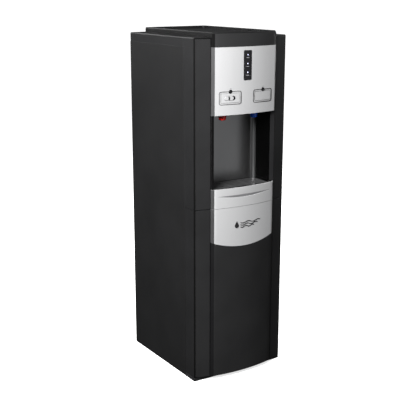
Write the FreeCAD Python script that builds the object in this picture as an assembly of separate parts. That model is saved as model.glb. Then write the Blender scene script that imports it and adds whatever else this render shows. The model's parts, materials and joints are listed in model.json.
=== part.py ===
import FreeCAD, Part
import math
import os

# Floor-standing water dispenser fed from a bottle that stands behind its lower door.
# Units are millimetres. The origin is on the floor at the middle of the footprint:
# +X is to the right of a person facing the front, -Y points at that person, +Z is up.

V = FreeCAD.Vector
UP = V(0, 0, 1)
TO_BACK = V(0, 1, 0)
TO_RIGHT = V(1, 0, 0)

# ---- driving dimensions -----------------------------------------------------------------
HALF_WIDTH = 162.0          # half of the overall width
FRONT_Y = -200.0            # foremost point of the bowed front
EMBLEM_PROUD = 0.7          # how far the door's emblem stands out
BACK_Y = EMBLEM_PROUD - FRONT_Y  # rear edges of the side panels
SHOULDER_Z = 1034.0         # top of the columns and of the top cover
LID_Z = 1048.0              # top of the raised lid
SIDE_TOP_Z = 1007.0         # top of the side panels, where the top cover begins
SKIRT_Z = 1.0               # lower edges of the side panels

CENTRE_HALF = 105.9         # half width of the bowed centre, up to its chamfered wings
BOW_RISE = 11.0             # how far the bowed centre stands out at the middle
WING_HALF = 113.3           # half width of the centre over its wings
WING_Y = -183.3             # outer edge of a wing
COLUMN_IN = (114.5, -182.4)  # inner edge of the right column's face
COLUMN_OUT = (162.0, -168.0)  # its outer edge, before rounding
COLUMN_ROUND = 4.0          # rounding of the outer vertical edge
COLUMN_INNER_Y = -160.0     # where the hollow behind the column's face meets its side wall
TOP_ROUND = 3.5             # rounding along the top edges
FLANGE_Y = -115.5           # rear edge of the front shell on the sides
STRIP = 1.9                 # thickness of the column strips, let in flush
STRIP_LENGTH = 44.4

PLINTH_SIDE_Y = -167.0      # the plinth's front at its sides
PLINTH_MIDDLE_Y = -169.5    # and at its middle
PLINTH_TOP_Z = 11.0
PLINTH_WALL = 3.5
DOOR_BOTTOM_Z = 13.0
DOOR_TOP_Z = 540.0
FASCIA_Z = 541.0            # bottom of the upper front shell and of the drip tray's front
TRAY_TOP_Z = 599.0
ALCOVE_TOP_Z = 815.0
PANEL_TOP_Z = 1006.4
TRIM_SIDE_Z = 437.0         # lower edge of the door trim at the sides of the bow
TRIM_MIDDLE_Z = 418.5       # and at the middle

BACKING_Y = -176.0          # the wall behind the control panel
ALCOVE_HALF = 101.0
ALCOVE_BACK_Y = -98.0
ALCOVE_CORNER = 16.0
ALCOVE_MOUTH_Y = -178.5     # the alcove's side walls start here, behind its lips
TAP_X = 56.4
TAP_Y = -155.0
PAD_X = 57.0
PAD_Z = 863.5
PAD_WIDTH = 69.4
PAD_HEIGHT = 35.4
PAD_GAP = 0.8               # groove between a pad and the panel around it
PLUNGER_R = 3.0
MARKER_Z = 882.0            # round markers on the pads' upper edges
MARKER_R = 5.5
WINDOW_Z = 953.5            # the indicator window
WINDOW_WIDTH = 28.6
WINDOW_HEIGHT = 85.0
WINDOW_ROUND = 4.0
LED_Z = (933.7, 958.6, 983.4)
LOCK_Z = 863.0              # the child lock's slot in the hot pad
LOCK_LEFT = -77.0
LOCK_RIGHT = -42.0
LOCK_TRAVEL = 5.0

SHELL = 3.0                 # plastic shells
SHEET = 1.2                 # folded steel sheet
DOOR_WALL = 3.5
DOOR_BACK_Y = -116.5
CABINET_FRONT_Y = -115.0
HINGE = (153.0, -125.5)     # the door's pivot in plan
HINGE_PIN_R = 3.0
RUNNING_GAP = 0.06
TOUCH = 0.3                 # clearance kept between pieces that move apart

BAY_HALF = 155.0            # inner faces of the bottle bay's liners
BAY_BACK_Y = 166.0
DECK_Z = 530.0
REAR_PANEL_Y = 172.0
PROBE = (128.0, 139.0)
COLD_TANK = (35.0, 55.0)
HOT_TANK = (80.0, 80.0)
COMPRESSOR = (-75.0, 85.0)
SERVICE_X = 127.0           # switches, mains inlet and drain stand in one column
CONDENSER_Y = 184.0         # the condenser's serpentine: its plane,
CONDENSER_R = 2.5           # its tube's radius,
CONDENSER_Z = 150.0         # its lowest row,
CONDENSER_PITCH = 56.0      # the step between rows
CONDENSER_ROWS = 13         # and their number
ROCKER_SWING = 20.0         # degrees between a rear switch's two positions

parts = {}


# ---- helpers ----------------------------------------------------------------------------
def box(x0, x1, y0, y1, z0, z1):
    return Part.makeBox(x1 - x0, y1 - y0, z1 - z0, V(x0, y0, z0))


def rod(x, y, z, radius, length, axis=UP):
    return Part.makeCylinder(radius, length, V(x, y, z), axis)


def join(pieces):
    whole = pieces[0].multiFuse(pieces[1:])
    return whole.removeSplitter()


def mirrored(shape):
    return shape.mirror(V(0, 0, 0), TO_RIGHT)


def both_sides(shape):
    return [shape, mirrored(shape)]


def corner_arc(before, here, after, radius):
    """Where a rounded corner starts, its middle and where it ends."""
    to_before = (before - here).normalize()
    to_after = (after - here).normalize()
    half = to_before.getAngle(to_after) / 2
    reach = radius / math.tan(half)
    inward = (to_before + to_after).normalize()
    middle = here + inward * (radius / math.sin(half) - radius)
    return here + to_before * reach, middle, here + to_after * reach


def outline(corners):
    """Closed plan wire through corners (x, y), rounded ones (x, y, radius), and
    (x, y, 0, (mx, my)), where the side that arrives is an arc through (mx, my)."""
    at = [V(c[0], c[1], 0) for c in corners]
    turns = []
    for i, corner in enumerate(corners):
        radius = corner[2] if len(corner) > 2 else 0.0
        if radius:
            turns.append(corner_arc(at[i - 1], at[i], at[(i + 1) % len(at)], radius))
        else:
            turns.append((at[i], None, at[i]))
    edges = []
    for i, corner in enumerate(corners):
        start = turns[i - 1][2]
        begin, middle, end = turns[i]
        if len(corner) == 4:
            through = V(corner[3][0], corner[3][1], 0)
            edges.append(Part.Arc(start, through, begin).toShape())
        elif (begin - start).Length > 1e-6:
            edges.append(Part.makeLine(start, begin))
        if middle:
            edges.append(Part.Arc(begin, middle, end).toShape())
    return Part.Wire(edges)


def prism(corners, z0, z1):
    face = Part.Face(outline(corners))
    face.translate(V(0, 0, z0))
    return face.extrude(V(0, 0, z1 - z0))


def rounded_box(x0, x1, y0, y1, z0, z1, radius):
    return prism([(x0, y0, radius), (x1, y0, radius), (x1, y1, radius), (x0, y1, radius)], z0, z1)


def upright(corners, y0, y1):
    """A prism drawn in (x, z) and extruded from y0 back to y1."""
    shape = prism(corners, -y1, -y0)
    shape.rotate(V(0, 0, 0), TO_RIGHT, 90)
    return shape


def upright_pad(x, z, width, height, radius, y0, y1):
    w, h = width / 2, height / 2
    corners = [(x - w, z - h, radius), (x + w, z - h, radius), (x + w, z + h, radius),
               (x - w, z + h, radius)]
    return upright(corners, y0, y1)


def sideways(corners, x0, x1):
    """A prism drawn in (y, z) and extruded from x0 to x1."""
    shape = prism(corners, x0, x1)
    shape.rotate(V(0, 0, 0), V(1, 1, 1), 120)
    return shape


def turned(corners, x, y):
    """A solid of revolution about the vertical at (x, y), drawn in (radius, z)."""
    face = Part.Face(outline(corners))
    face.rotate(V(0, 0, 0), TO_RIGHT, 90)
    shape = face.revolve(V(0, 0, 0), UP, 360)
    shape.translate(V(x, y, 0))
    return shape


def tube(points, radius, bend):
    """A round tube along straight runs joined by arcs of one bend radius."""
    at = [V(*p) for p in points]
    edges = []
    here = at[0]
    for i in range(1, len(at) - 1):
        begin, middle, end = corner_arc(at[i - 1], at[i], at[i + 1], bend)
        if (begin - here).Length > 1e-6:
            edges.append(Part.makeLine(here, begin))
        edges.append(Part.Arc(begin, middle, end).toShape())
        here = end
    edges.append(Part.makeLine(here, at[-1]))
    circle = Part.Wire(Part.makeCircle(radius, at[0], at[1] - at[0]))
    return Part.Wire(edges).makePipeShell([circle], True, True)


# ---- the front's own outlines -----------------------------------------------------------
BOW_RADIUS = (CENTRE_HALF ** 2 + BOW_RISE ** 2) / (2 * BOW_RISE)
BOW_CENTRE_Y = FRONT_Y + BOW_RADIUS


def bow_y(x, inset=0.0):
    return BOW_CENTRE_Y - math.sqrt((BOW_RADIUS - inset) ** 2 - x ** 2)


def bow_corners(inset, back_y):
    """Plan corners of the bowed centre with its wings, drawn in by inset, ending at back_y."""
    corner = CENTRE_HALF - 0.4 * inset
    wing = WING_HALF - inset
    wing_y = WING_Y + 0.3 * inset
    right = [(corner, bow_y(corner, inset), 0, (0, FRONT_Y + inset)), (wing, wing_y), (wing, back_y)]
    left = [(-wing, back_y), (-wing, wing_y), (-corner, bow_y(corner, inset))]
    return left + right


def bow_block(inset, back_y, z0, z1):
    return prism(bow_corners(inset, back_y), z0, z1)


def bow_cap(wall, back_y, z0, z1):
    """A bowed plate with wings and short returns behind them."""
    return bow_block(0, back_y, z0, z1).cut(bow_block(wall, back_y + 50, z0 - 1, z1 + 1))


def column_point(along, inset):
    """A plan point on the right column's face: along it from its inner edge, and in from it."""
    dx = COLUMN_OUT[0] - COLUMN_IN[0]
    dy = COLUMN_OUT[1] - COLUMN_IN[1]
    length = math.hypot(dx, dy)
    ux, uy = dx / length, dy / length
    return (COLUMN_IN[0] + along * ux - inset * uy, COLUMN_IN[1] + along * uy + inset * ux)


STRIP_START = 1.4
STRIP_END = STRIP_START + STRIP_LENGTH
STEP = STRIP_END + 0.6      # where the column's skin steps out again, past the strip
SEAT = STRIP + 0.1          # depth of the strip's seat


def strip(z0, z1):
    """The pair of long plates let into the column faces."""
    corners = [column_point(STRIP_START, 0), column_point(STRIP_END, 0),
               column_point(STRIP_END, STRIP), column_point(STRIP_START, STRIP)]
    return Part.makeCompound(both_sides(prism(corners, z0, z1)))


# ---- base, cabinet and bottle bay -------------------------------------------------------
def build_base():
    side = HALF_WIDTH - 0.5
    side_y = PLINTH_SIDE_Y
    middle_y = PLINTH_MIDDLE_Y
    tongue = 147.0
    rear_y = CABINET_FRONT_Y - 0.6
    plan = [(-side, rear_y), (-side, side_y), (side, side_y, 0, (0, middle_y)), (side, rear_y),
            (tongue, rear_y), (tongue, -112), (-tongue, -112), (-tongue, rear_y)]
    wall = PLINTH_WALL
    hollow = [(-side + wall, rear_y - wall), (-side + wall, side_y + wall),
              (side - wall, side_y + wall, 0, (0, middle_y + wall)), (side - wall, rear_y - wall)]
    plinth = prism(plan, 0, PLINTH_TOP_Z).cut(prism(hollow, -1, PLINTH_TOP_Z - 3))
    boss = rod(HINGE[0] - 3, HINGE[1], 0, 7.5, 9)
    boss = boss.common(box(100, side, -160, rear_y, 0, 9))
    pin_hole = rod(*HINGE, 2, HINGE_PIN_R, 20)
    parts["front_plinth"] = join([plinth, boss]).cut(pin_hole)

    x = HALF_WIDTH - SHEET - 0.1
    pan = box(-x, x, -112, 198, 4, 7)
    sill_half = BAY_HALF - 0.2
    sill = box(-sill_half, sill_half, -112, -110, 7, 16)
    rear_lip = box(-145, 145, 196.5, 198, 7, 22)
    parts["base_tray"] = join([pan, sill, rear_lip])
    foot = turned([(0, 0), (16, 0), (18, 1.5), (18, 4), (0, 4)], 142, 165)
    parts["rear_feet"] = Part.makeCompound(both_sides(foot))


def build_cabinet():
    x = HALF_WIDTH
    bend = 2.0
    sheet = [(x, CABINET_FRONT_Y, bend), (x, BACK_Y, bend), (146, BACK_Y), (146, BACK_Y - SHEET),
             (x - SHEET, BACK_Y - SHEET, bend - SHEET), (x - SHEET, CABINET_FRONT_Y + SHEET, bend - SHEET),
             (148, CABINET_FRONT_Y + SHEET), (148, CABINET_FRONT_Y)]
    right = prism(sheet, SKIRT_Z, SIDE_TOP_Z)
    parts["side_panel_right"] = right
    parts["side_panel_left"] = mirrored(right)

    liner = box(BAY_HALF, BAY_HALF + 2, CABINET_FRONT_Y + 3.2, BAY_BACK_Y + 2, 7.2, DECK_Z - 0.5)
    parts["bay_liner_right"] = liner
    parts["bay_liner_left"] = mirrored(liner)

    inner = BAY_HALF - 0.2
    wall = box(-inner, inner, BAY_BACK_Y, BAY_BACK_Y + 2, 7.2, DECK_Z - 0.5)
    clips = []
    for z in (120, 400):
        clip = box(PROBE[0] - 9, PROBE[0] + 9, PROBE[1] - 3, BAY_BACK_Y, z, z + 10)
        clips.append(clip.cut(rod(*PROBE, z - 1, 6, 12)))
    parts["bay_rear_wall"] = join([wall] + clips)

    y0, y1 = -109.5, BAY_BACK_Y - 0.5
    rim = box(-inner, inner, y0, y1, 7.2, 18).cut(box(-inner + 3, inner - 3, y0 + 3, y1 - 3, 7, 19))
    floor = box(-inner, inner, y0, y1, 18, 24)
    seat = rod(0, (y0 + y1) / 2, 21, 136, 4)
    parts["bay_floor"] = join([rim, floor]).cut(seat)

    x = HALF_WIDTH - SHEET - 0.2
    deck = box(-x, x, -112, REAR_PANEL_Y - 0.3, DECK_Z, DECK_Z + 3)
    rail = box(-x, x, -112, -110, DECK_Z + 3, DECK_Z + 12)
    parts["mid_deck"] = join([deck, rail]).cut(rod(*PROBE, DECK_Z - 1, 8, 5))


def build_rear_panel():
    x = HALF_WIDTH - SHEET - 0.2
    y = REAR_PANEL_Y
    panel = box(-x, x, y, y + 1.2, 7.2, SIDE_TOP_Z - 1)
    slots = []
    for first_z in (30, 900):
        for row in range(9):
            for centre in (-105, -35, 35):
                z = first_z + 10 * row
                slots.append(upright_pad(centre, z, 56, 4, 1.9, y - 1, y + 3))
    cuts = [upright_pad(SERVICE_X, z, 20, 28, 1, y - 1, y + 3) for z in (945, 905)]
    cuts.append(box(SERVICE_X - 14, SERVICE_X + 14, y - 1, y + 3, 829.5, 850.5))
    cuts.append(rod(SERVICE_X, y - 1, 575, 8.5, 4, TO_BACK))
    clips = []
    for x_clip in (-118, 66):
        for row in (0, 4, 8, 12):
            z = CONDENSER_Z + row * CONDENSER_PITCH
            clips.append(box(x_clip - 5, x_clip + 5, y + 1.2, CONDENSER_Y - CONDENSER_R, z - 6, z + 6))
    parts["rear_panel"] = join([panel] + clips).cut(Part.makeCompound(slots)).cut(Part.makeCompound(cuts))


def top_edges(shape, behind=None):
    """The edges of the topmost face, except those wholly in front of the plane y = behind."""
    top = shape.BoundBox.ZMax - 0.01
    edges = [e for e in shape.Edges if e.BoundBox.ZMin > top]
    if behind is None:
        return edges
    return [e for e in edges if e.BoundBox.YMax > behind]


def build_top():
    x = HALF_WIDTH
    outer = [(-x, CABINET_FRONT_Y), (x, CABINET_FRONT_Y), (x, BACK_Y, 4), (-x, BACK_Y, 4)]
    x = HALF_WIDTH - 2.5
    inner = [(-x, CABINET_FRONT_Y - 5), (x, CABINET_FRONT_Y - 5), (x, BACK_Y - 2.5, 2.5),
             (-x, BACK_Y - 2.5, 2.5)]
    cover = prism(outer, SIDE_TOP_Z, SHOULDER_Z)
    cover = cover.makeFillet(TOP_ROUND, top_edges(cover, CABINET_FRONT_Y + 0.1))
    cover = cover.cut(prism(inner, SIDE_TOP_Z - 1, SHOULDER_Z - 3))
    parts["top_cover"] = cover.cut(rounded_box(-90, 90, -100, 160, 1000, 1040, 8))

    back = 196.0
    plan = bow_corners(0, back)
    plan[0] = (-WING_HALF, back, 10)
    plan[-1] = (WING_HALF, back, 10)
    slab = prism(plan, SHOULDER_Z, LID_Z)
    slab = slab.makeFillet(TOP_ROUND, top_edges(slab))
    rim = 9.0
    dish = [(-WING_HALF + rim, back - rim, 8), (-WING_HALF + rim, -176, 6),
            (WING_HALF - rim, -176, 6), (WING_HALF - rim, back - rim, 8)]
    dish = prism(dish, LID_Z - 8, LID_Z + 5)
    bow_dish = bow_block(rim, -170, LID_Z - 8, LID_Z + 5)
    front_band = bow_cap(SHELL, BACKING_Y - 0.2, PANEL_TOP_Z + 0.5, SHOULDER_Z)
    parts["top_lid"] = join([slab, front_band]).cut(join([dish, bow_dish]))


# ---- the upper front --------------------------------------------------------------------
def build_fascia():
    column = [(HALF_WIDTH, FLANGE_Y), (*COLUMN_OUT, COLUMN_ROUND), column_point(STEP, 0),
              column_point(STEP, SEAT), column_point(STRIP_START, SEAT), (114.9, BACKING_Y + 2.5),
              (117.6, BACKING_Y + 2.5), column_point(46, 5), (HALF_WIDTH - SHELL, COLUMN_INNER_Y),
              (HALF_WIDTH - SHELL, FLANGE_Y)]
    right = prism(column, FASCIA_Z, SHOULDER_Z - 3.6)
    cap_plan = [(HALF_WIDTH, FLANGE_Y), (*COLUMN_OUT, COLUMN_ROUND), column_point(STRIP_START, 0),
                (114.9, FLANGE_Y)]
    cap = prism(cap_plan, SHOULDER_Z - 3.6, SHOULDER_Z)
    outer_edges = [e for e in top_edges(cap) if e.BoundBox.XMin > 115 and e.BoundBox.YMin < FLANGE_Y - 1]
    cap = cap.makeFillet(TOP_ROUND, outer_edges)
    foot = box(144, HALF_WIDTH - SHELL + 0.5, -134, -117, FASCIA_Z, FASCIA_Z + 3)
    foot = foot.cut(rod(*HINGE, FASCIA_Z - 1, HINGE_PIN_R, 6))
    backing = box(-116, 116, BACKING_Y, BACKING_Y + 2.5, ALCOVE_TOP_Z + 4, SHOULDER_Z - 1)
    holes = [rod(side * PAD_X, BACKING_Y - 1, PAD_Z, 8, 5, TO_BACK) for side in (-1, 1)]
    backing = backing.cut(Part.makeCompound(holes))
    pieces = [backing]
    for piece in (right, cap, foot):
        pieces += both_sides(piece)
    fascia = join(pieces)
    parts["front_fascia"] = fascia
    parts["column_strips"] = strip(FASCIA_Z + 0.6, SHOULDER_Z - 4.0)


def build_alcove():
    half, back = ALCOVE_HALF, ALCOVE_BACK_Y
    wall, r = 2.5, ALCOVE_CORNER
    z0, z1 = 555.0, ALCOVE_TOP_Z
    outer = prism([(-half - wall, -177), (half + wall, -177), (half + wall, back + wall, r + wall),
                   (-half - wall, back + wall, r + wall)], z0 - wall, z1 + wall)
    lip = prism([(half, ALCOVE_MOUTH_Y), (WING_HALF, WING_Y), (WING_HALF, -176), (half, -176)],
                TRAY_TOP_Z + 0.8, z1 - 0.9)
    lips = both_sides(lip)
    ceiling = bow_block(SHELL + 0.3, -177, z1, z1 + wall).common(box(-103, 103, -210, -170, 800, 830))
    hollow = prism([(-half, -220), (half, -220), (half, back, r), (-half, back, r)], z0, z1)
    liner = join([outer, ceiling] + lips).cut(hollow)
    for side in (-1, 1):
        liner = liner.cut(rod(side * TAP_X, TAP_Y, z1 - 1, 13, 6))
    parts["alcove_liner"] = liner


def build_control_panel():
    z0, z1 = ALCOVE_TOP_Z - 0.3, PANEL_TOP_Z
    panel = bow_cap(2.5, -172, z0, z1)
    cuts = [upright_pad(0, WINDOW_Z, WINDOW_WIDTH + 0.2, WINDOW_HEIGHT + 0.2, WINDOW_ROUND, -210, -180)]
    for side in (-1, 1):
        width, height = PAD_WIDTH + 2 * PAD_GAP, PAD_HEIGHT + 2 * PAD_GAP
        cuts.append(upright_pad(side * PAD_X, PAD_Z, width, height, 6.2, -210, -180))
        cuts.append(rod(side * PAD_X, -210, MARKER_Z, MARKER_R, 30, TO_BACK))
    # the returns beside the backing plate stop short of it
    cuts.append(box(-120, 120, BACKING_Y - 0.2, -160, z0 - 1, z1 + 1))
    parts["control_panel"] = panel.cut(Part.makeCompound(cuts))

    window = upright_pad(0, WINDOW_Z, WINDOW_WIDTH, WINDOW_HEIGHT, WINDOW_ROUND, -210, -180)
    layer = bow_block(0, -177, 800, 1010).cut(bow_block(2.5, -150, 799, 1011))
    window = window.common(layer)
    for z in LED_Z:
        window = window.cut(rod(0, -210, z, 2.6, 30, TO_BACK))
    parts["indicator_window"] = window
    leds = [rod(0, FRONT_Y + 0.4, z, 2.5, 16.0, TO_BACK) for z in LED_Z]
    parts["indicator_leds"] = Part.makeCompound(leds)

    marker_front = bow_y(PAD_X) - 0.8
    markers = []
    for side in (-1, 1):
        head = rod(side * PAD_X, marker_front, MARKER_Z, MARKER_R, 5, TO_BACK)
        stem = rod(side * PAD_X, marker_front, MARKER_Z, 3, BACKING_Y - marker_front, TO_BACK)
        markers.append(join([head, stem]))
    parts["pad_markers"] = Part.makeCompound(markers)


def build_pads():
    """The two push pads with their valve plungers, and the child lock in the hot one."""
    layer_border = bow_block(0.9, -150, 800, 1010).cut(bow_block(4, -140, 799, 1011))
    layer_raised = bow_block(-0.4, -150, 800, 1010).cut(bow_block(3, -140, 799, 1011))
    for name, side in (("hot", -1), ("cold", 1)):
        x = side * PAD_X
        border = upright_pad(x, PAD_Z, PAD_WIDTH, PAD_HEIGHT, 5.6, -210, -180).common(layer_border)
        raised = upright_pad(x, PAD_Z, PAD_WIDTH - 9, PAD_HEIGHT - 9, 3, -210, -180)
        raised = raised.common(layer_raised)
        post = rod(x, -195, PAD_Z, 6, 14.5, TO_BACK)
        pad = join([border, raised, post])
        pad = pad.cut(rod(x, -210, MARKER_Z, MARKER_R + 0.8, 40, TO_BACK))
        head = rod(x, -180.5, PAD_Z, 5, 3, TO_BACK)
        stem = rod(x, -177.5, PAD_Z, PLUNGER_R, 25.5, TO_BACK)
        parts[name + "_plunger"] = join([head, stem])
        parts[name + "_button"] = pad

    floor_y = bow_y(LOCK_LEFT) + 1.8
    middle = (LOCK_LEFT + LOCK_RIGHT) / 2
    recess = upright_pad(middle, LOCK_Z, LOCK_RIGHT - LOCK_LEFT, 12, 5.9, -210, floor_y)
    parts["hot_button"] = parts["hot_button"].cut(recess)
    knob_width = LOCK_RIGHT - LOCK_LEFT - LOCK_TRAVEL - 2 * TOUCH
    knob_x = LOCK_LEFT + TOUCH + knob_width / 2
    knob = upright_pad(knob_x, LOCK_Z, knob_width, 11.4, 5.6, -210, floor_y - 0.2)
    parts["child_lock_slider"] = knob.common(bow_block(-1.2, -150, 800, 1010))


def build_taps():
    for name, side in (("hot", -1), ("cold", 1)):
        x = side * TAP_X
        z = ALCOVE_TOP_Z + 2.5
        body = rod(x, TAP_Y, z, 10, PAD_Z - z)
        barrel = rod(side * PAD_X, -170, PAD_Z, 11, 42, TO_BACK)
        barb = rod(x, -130, PAD_Z, 5, 14, TO_BACK)
        bore = rod(side * PAD_X, -171, PAD_Z, PLUNGER_R + RUNNING_GAP, 25, TO_BACK)
        parts[name + "_tap"] = join([body, barrel, barb]).cut(bore)
        tip = 795.0
        nozzle = [(5, tip), (9, tip), (10.5, tip + 1.5), (11.8, tip + 12), (11.8, z), (5, z)]
        parts[name + "_nozzle"] = turned(nozzle, x, TAP_Y)


def build_drip_tray():
    front = bow_cap(SHELL, BACKING_Y, FASCIA_Z, TRAY_TOP_Z)
    # a crescent finger grip: its face leans in from a straight top edge down to a curved sill
    grip_half, grip_top, grip_sill, grip_depth = 97.0, 577.3, 568.9, 2.2
    crescent = upright([(grip_half, grip_top), (-grip_half, grip_top, 0, (0, grip_sill))], -210, -150)
    grip_height = grip_top - grip_sill
    foot = V(0, BOW_CENTRE_Y, grip_sill)
    ring = Part.makeCylinder(BOW_RADIUS + 2, grip_height, foot)
    ring = ring.cut(Part.makeCone(BOW_RADIUS - grip_depth, BOW_RADIUS, grip_height, foot))
    parts["drip_tray_front"] = front.cut(crescent.common(ring))

    half, y0, y1 = 99.0, -181.0, ALCOVE_BACK_Y - 3
    z0, z1 = 556.0, TRAY_TOP_Z - 2
    basin = prism([(-half, y0, 3), (half, y0, 3), (half, y1, 13), (-half, y1, 13)], z0, z1)
    wall = 3.6
    inside = prism([(-half + wall, y0 + wall, 4), (half - wall, y0 + wall, 4),
                    (half - wall, y1 - wall, 9), (-half + wall, y1 - wall, 9)], z0 + 2.5, z1 + 1)
    seat = 2.0
    ledge = prism([(-half + seat, y0 + seat, 5), (half - seat, y0 + seat, 5),
                   (half - seat, y1 - seat, 11), (-half + seat, y1 - seat, 11)], z1 - 3, z1 + 1)
    shelf = bow_block(SHELL + 0.05, y0, z1 - 3, z1)
    parts["drip_tray"] = join([basin, shelf]).cut(inside).cut(ledge)

    gap = seat + 0.4
    plate = prism([(-half + gap, y0 + gap, 4.6), (half - gap, y0 + gap, 4.6),
                   (half - gap, y1 - gap, 10.6), (-half + gap, y1 - gap, 10.6)], z1 - 2.95, z1)
    slots = []
    rows, pitch = 7, 9.2
    first_y = (y0 + y1) / 2 - pitch * (rows - 1) / 2
    for row in range(rows):
        y = first_y + pitch * row
        for centre in (-62, 0, 62):
            slots.append(rounded_box(centre - 26, centre + 26, y - 1.8, y + 1.8, z1 - 5, z1 + 2, 1.7))
    for side in (-1, 1):
        slots.append(rod(side * TAP_X, TAP_Y, z1 - 5, 7.5, 8))
    parts["drip_grille"] = plate.cut(Part.makeCompound(slots))


# ---- the door ---------------------------------------------------------------------------
def wave(x0, z, half_length, waves, swell, thick):
    """A flat wavy bar, drawn in (x, z) with one arc for every half wave."""
    step = 2 * half_length / waves
    lower = [(x0 - half_length, z)]
    for i in range(waves):
        up = swell if i % 2 else -swell
        x = x0 - half_length + step * i
        lower.append((x + step, z, 0, (x + step / 2, z + up)))
    upper = [(x0 + half_length, z + thick)]
    for i in reversed(range(waves)):
        up = swell if i % 2 else -swell
        x = x0 - half_length + step * i
        upper.append((x, z + thick, 0, (x + step / 2, z + thick + up)))
    return lower + upper


def build_door():
    x = HALF_WIDTH
    columns = []
    for side in (-1, 1):
        face = [(*COLUMN_OUT, COLUMN_ROUND), column_point(STEP, 0), column_point(STEP, SEAT),
                column_point(STRIP_START, SEAT), (114.7, -177), (WING_HALF, -177), (WING_HALF, WING_Y)]
        columns.append([(side * p[0],) + tuple(p[1:]) for p in face])
    left = columns[0]
    right = list(reversed(columns[1]))
    bow = [(-CENTRE_HALF, bow_y(CENTRE_HALF)), (CENTRE_HALF, bow_y(CENTRE_HALF), 0, (0, FRONT_Y))]
    rear = [(x, DOOR_BACK_Y, x - HINGE[0]), (-x, DOOR_BACK_Y, 2)]
    outer = prism(left + bow + right + rear, DOOR_BOTTOM_Z, DOOR_TOP_Z)

    w = x - DOOR_WALL
    cx = 104.0
    cavity = [(-w, -125), (-w, COLUMN_INNER_Y), (-column_point(46, 5.5)[0], column_point(46, 5.5)[1]),
              (-column_point(7, 5.5)[0], column_point(7, 5.5)[1]), (-cx, -173.5),
              (-cx, bow_y(cx, DOOR_WALL)), (cx, bow_y(cx, DOOR_WALL), 0, (0, FRONT_Y + DOOR_WALL)),
              (cx, -173.5), column_point(7, 5.5), column_point(46, 5.5), (w, COLUMN_INNER_Y), (w, -125)]
    cavity = prism(cavity, DOOR_BOTTOM_Z + DOOR_WALL, DOOR_TOP_Z - DOOR_WALL)
    mouth = box(-w, 151, -125, DOOR_BACK_Y + 5, DOOR_BOTTOM_Z + DOOR_WALL, DOOR_TOP_Z - DOOR_WALL)
    shell = outer.cut(join([cavity, mouth]))
    knuckles = []
    for z in (DOOR_BOTTOM_Z, DOOR_TOP_Z - 20):
        block = box(144, w + 0.5, -133, -122, z, z + 20)
        knuckles.append(block)
    shell = join([shell] + knuckles)
    for z in (DOOR_BOTTOM_Z - 1, DOOR_TOP_Z - 20):
        shell = shell.cut(rod(*HINGE, z, HINGE_PIN_R + RUNNING_GAP, 21.5))

    trim_zone = upright([(-WING_HALF - 1, TRIM_SIDE_Z + 2.6), (-WING_HALF - 1, DOOR_TOP_Z),
                         (WING_HALF + 1, DOOR_TOP_Z), (WING_HALF + 1, TRIM_SIDE_Z + 2.6),
                         (-WING_HALF - 1, TRIM_SIDE_Z + 2.6, 0, (0, TRIM_MIDDLE_Z))], -210, -150)
    trim_depth = 1.8
    layer = bow_block(0, -177.2, 400, DOOR_TOP_Z).cut(bow_block(trim_depth, -160, 399, 545))
    trim = layer.common(trim_zone)
    parts["door_trim"] = trim
    shell = shell.cut(trim)

    magnet = box(-157, -148, -122, -115.4, 470, 510)
    panel = box(-w + 0.1, 150.9, DOOR_BACK_Y - 3, DOOR_BACK_Y, DOOR_BOTTOM_Z + DOOR_WALL + 0.1,
                DOOR_TOP_Z - DOOR_WALL - 0.1)
    bottle_relief = rounded_box(-120, 120, DOOR_BACK_Y - 1.2, DOOR_BACK_Y + 1, 40, 500, 0.5)
    parts["door_inner_panel"] = panel.cut(magnet).cut(bottle_relief)
    parts["door_magnet"] = magnet
    parts["door_shell"] = shell
    parts["door_strips"] = strip(DOOR_BOTTOM_Z + 0.6, DOOR_TOP_Z - 0.4)

    # a drop beside three ripples
    ex, ez = 10.0, 485.0
    drop_r = 7.0
    tip = ez + 12.5
    slope = math.asin(drop_r / (tip - (ez - 2.5)))
    touch_x = drop_r * math.cos(slope)
    touch_z = ez - 2.5 + drop_r * math.sin(slope)
    dx = ex - 42
    drop = upright([(dx, tip), (dx - touch_x, touch_z),
                    (dx + touch_x, touch_z, 0, (dx, ez - 2.5 - drop_r))], -210, -150)
    bars = []
    for i, half in enumerate((37, 32, 25)):
        bars.append(upright(wave(ex - 29 + half, ez + 4.5 - 6.6 * i, half, 4, 2.0, 2.6), -210, -150))
    raised = bow_block(-EMBLEM_PROUD, -150, 450, 520).cut(bow_block(0, -140, 449, 521))
    emblem = [piece.common(raised) for piece in [drop] + bars]
    parts["door_emblem"] = Part.makeCompound(emblem)

    lower = rod(*HINGE, 2, HINGE_PIN_R, 30)
    upper = rod(*HINGE, DOOR_TOP_Z - 18, HINGE_PIN_R, 24)
    parts["hinge_pins"] = Part.makeCompound([lower, upper])


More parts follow.
